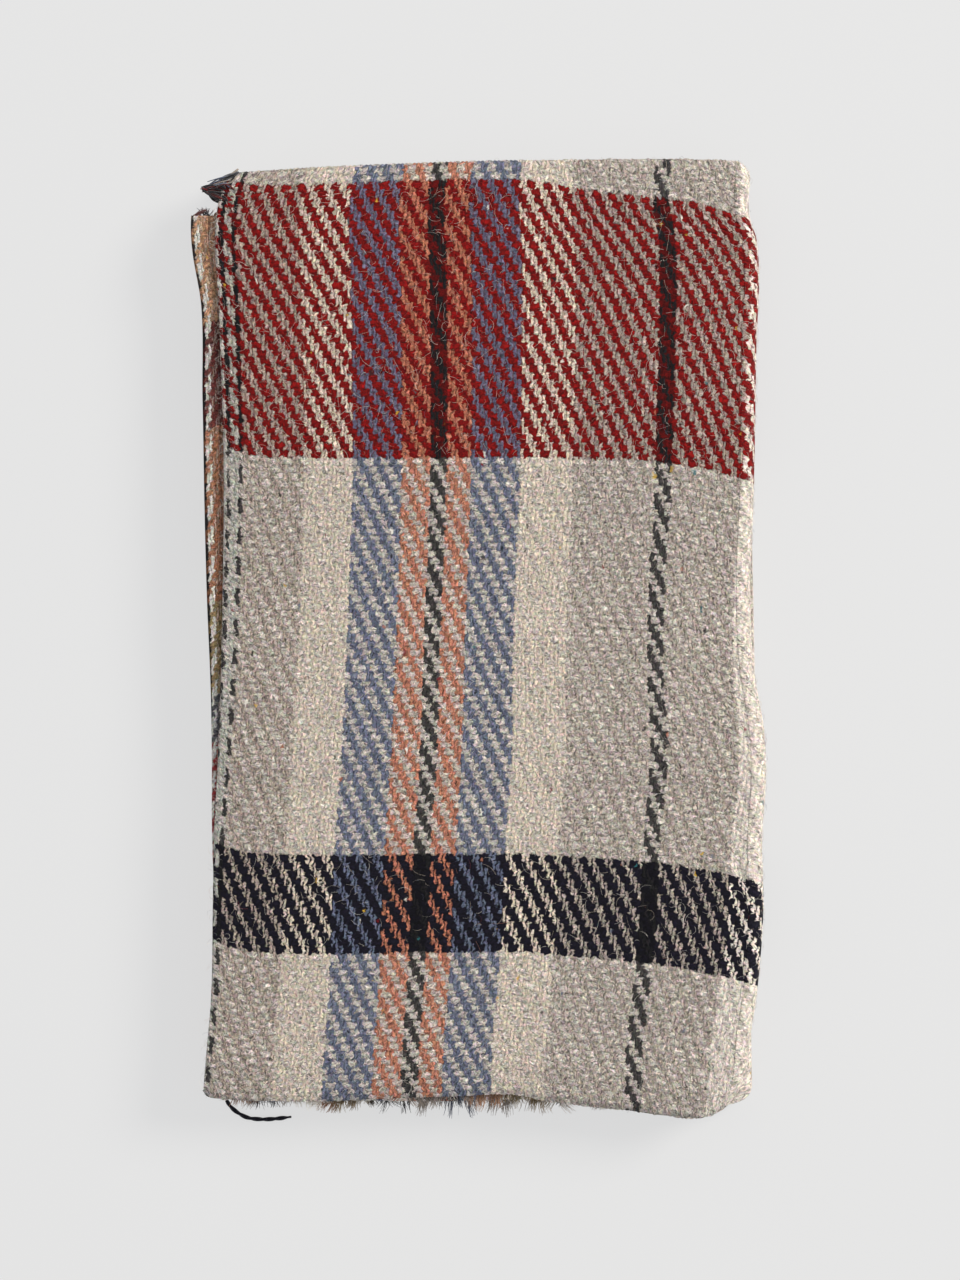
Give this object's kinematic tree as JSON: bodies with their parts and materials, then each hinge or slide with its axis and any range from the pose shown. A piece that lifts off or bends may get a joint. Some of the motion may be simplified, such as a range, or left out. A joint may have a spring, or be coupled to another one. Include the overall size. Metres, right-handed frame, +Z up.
{
  "type": "folded throw blanket",
  "caption": "Rectangular fringed wool throw, folded in thirds along its length and fan-folded across its width; the leaves open on soft side folds.",
  "frame": {"origin": "middle of the folded outline, on the underside that the blanket rests on", "axes": "+Z up through the stack of plies; +Y along the folded length, from the tight end folds to the wide end folds; +X across the folded width, towards the top and bottom side folds"},
  "size_m": [0.341, 0.5795, 0.0393],
  "materials": {
    "face_cloth": "2/2 twill wool, heathered stripes",
    "tucked_cloth": "2/2 twill wool, rust, red and olive bands",
    "cover_cloth": "2/2 twill wool, muted bands",
    "selvedge": "dense woven edge with dark dashed ends",
    "fringe": "short cut wool yarn ends",
    "loose_yarn": "single loose navy wool yarn"
  },
  "bodies": {
    "top_leaf": {"top_leaf_face_ply": "face_cloth", "top_leaf_face_selvedge": "selvedge", "top_leaf_tucked_ply": "tucked_cloth", "top_leaf_tucked_selvedge": "selvedge", "top_leaf_cover_ply": "cover_cloth", "top_leaf_cover_selvedge": "selvedge", "top_leaf_wide_end_fold": "face_cloth", "top_leaf_tight_end_fold": "tucked_cloth", "top_leaf_tucked_fringe": "fringe", "top_leaf_cover_fringe": "fringe"},
    "second_leaf": {"second_leaf_face_ply": "face_cloth", "second_leaf_tucked_ply": "tucked_cloth", "second_leaf_cover_ply": "cover_cloth", "second_leaf_wide_end_fold": "face_cloth", "second_leaf_tight_end_fold": "tucked_cloth", "second_leaf_tucked_fringe": "fringe", "second_leaf_cover_fringe": "fringe", "top_fold_face_turn": "face_cloth", "top_fold_tucked_turn": "tucked_cloth", "top_fold_cover_turn": "cover_cloth"},
    "third_leaf": {"third_leaf_face_ply": "face_cloth", "third_leaf_tucked_ply": "tucked_cloth", "third_leaf_cover_ply": "cover_cloth", "third_leaf_wide_end_fold": "face_cloth", "third_leaf_tight_end_fold": "tucked_cloth", "third_leaf_tucked_fringe": "fringe", "third_leaf_cover_fringe": "fringe", "middle_fold_face_turn": "face_cloth", "middle_fold_tucked_turn": "tucked_cloth", "middle_fold_cover_turn": "cover_cloth"},
    "bottom_leaf": {"bottom_leaf_face_ply": "face_cloth", "bottom_leaf_face_selvedge": "selvedge", "bottom_leaf_tucked_ply": "tucked_cloth", "bottom_leaf_tucked_selvedge": "selvedge", "bottom_leaf_cover_ply": "cover_cloth", "bottom_leaf_cover_selvedge": "selvedge", "bottom_leaf_wide_end_fold": "face_cloth", "bottom_leaf_tight_end_fold": "tucked_cloth", "bottom_leaf_tucked_fringe": "fringe", "bottom_leaf_cover_fringe": "fringe", "bottom_fold_face_turn": "face_cloth", "bottom_fold_tucked_turn": "tucked_cloth", "bottom_fold_cover_turn": "cover_cloth", "loose_yarn": "loose_yarn"}
  },
  "joints": [
    {"name": "bottom_fold", "type": "hinge", "parent": "bottom_leaf", "child": "third_leaf", "pos_m": [0.15762, 0, 0.00975], "axis": [0, 1, 0], "range_deg": [0, 180], "deforming": ["bottom_fold_face_turn", "bottom_fold_tucked_turn", "bottom_fold_cover_turn"]},
    {"name": "middle_fold", "type": "hinge", "parent": "third_leaf", "child": "second_leaf", "pos_m": [-0.15762, 0, 0.01965], "axis": [0, -1, 0], "range_deg": [0, 180], "deforming": ["middle_fold_face_turn", "middle_fold_tucked_turn", "middle_fold_cover_turn"]},
    {"name": "top_fold", "type": "hinge", "parent": "second_leaf", "child": "top_leaf", "pos_m": [0.15762, 0, 0.02955], "axis": [0, 1, 0], "range_deg": [0, 180], "deforming": ["top_fold_face_turn", "top_fold_tucked_turn", "top_fold_cover_turn"]}
  ]
}
